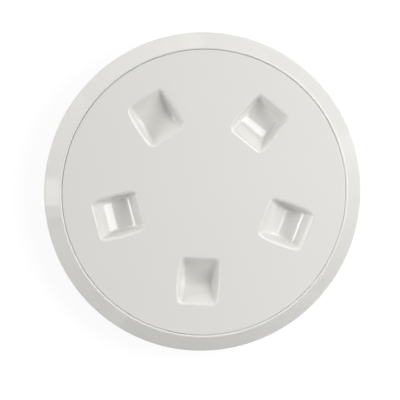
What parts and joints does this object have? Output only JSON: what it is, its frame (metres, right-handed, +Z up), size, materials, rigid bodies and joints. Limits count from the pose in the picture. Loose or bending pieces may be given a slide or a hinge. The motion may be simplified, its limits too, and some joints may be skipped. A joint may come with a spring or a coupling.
{
  "type": "deck inspection plate",
  "caption": "Round screw-in deck inspection plate: bevelled mounting ring, flush lid with finger pockets and an O-ring.",
  "frame": {"origin": "centre of the deck's surface under the flange, on the axis of the neck", "axes": "+Z up out of the deck, along the neck's axis; -Y towards the first finger pocket"},
  "size_m": [0.2, 0.2, 0.0289],
  "materials": {
    "white_plastic": "moulded, glossy",
    "seal_rubber": "matt, slightly greased"
  },
  "bodies": {
    "ring": {"ring": "white_plastic"},
    "seal": {"o_ring": "seal_rubber"},
    "lid": {"lid": "white_plastic"}
  },
  "joints": [
    {"name": "lid_rise", "type": "slide", "parent": "ring", "child": "seal", "axis": [0, 0, 1], "range_m": [0, 0.01]},
    {"name": "lid_turn", "type": "hinge", "parent": "seal", "child": "lid", "pos_m": [0, 0, 0], "axis": [0, 0, 1], "range_deg": [0, 720]}
  ],
  "couplings": [
    {"joint": "lid_rise", "follows": "lid_turn", "m_per_rad": 0.00079577}
  ]
}
